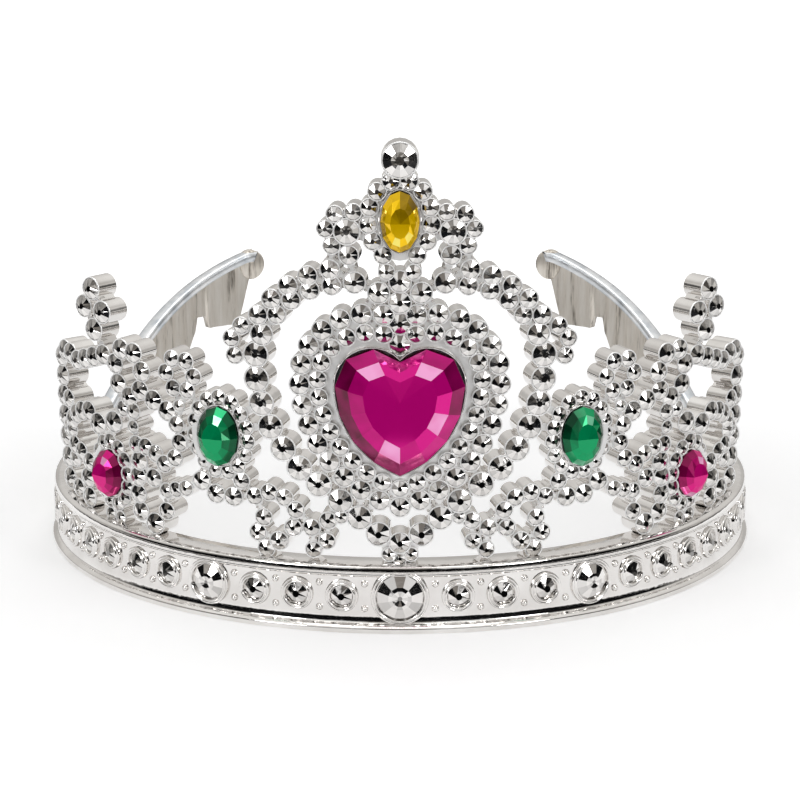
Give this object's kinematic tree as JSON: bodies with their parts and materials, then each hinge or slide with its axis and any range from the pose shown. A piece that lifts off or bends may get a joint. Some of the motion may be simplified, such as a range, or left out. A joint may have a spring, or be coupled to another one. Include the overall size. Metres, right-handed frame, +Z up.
{
  "type": "toy tiara",
  "caption": "Chrome-plated plastic toy tiara: open headband with two side arms, a pierced front of faceted beads and glued acrylic gems.",
  "frame": {"origin": "under the middle of the bounding box, on the plane of the strip's foot", "axes": "the wearer looks along -Y, +Z is up from the strip to the top bead, +X is the wearer's left side"},
  "size_m": [0.1518, 0.1468, 0.0957],
  "materials": {
    "chrome_plated_plastic": "bright vacuum-plated chrome on plastic, satin grey on the inside of the arms",
    "magenta_acrylic": "clear tinted acrylic, faceted, silvered flat back",
    "yellow_acrylic": "clear tinted acrylic, faceted, silvered flat back",
    "green_acrylic": "clear tinted acrylic, faceted, silvered flat back",
    "pink_acrylic": "clear tinted acrylic, faceted, silvered flat back"
  },
  "bodies": {
    "root": {"tiara_frame": "chrome_plated_plastic", "heart_gem": "magenta_acrylic", "top_oval_gem": "yellow_acrylic", "green_oval_gem_left": "green_acrylic", "green_oval_gem_right": "green_acrylic", "pink_oval_gem_left": "pink_acrylic", "pink_oval_gem_right": "pink_acrylic"}
  },
  "joints": []
}
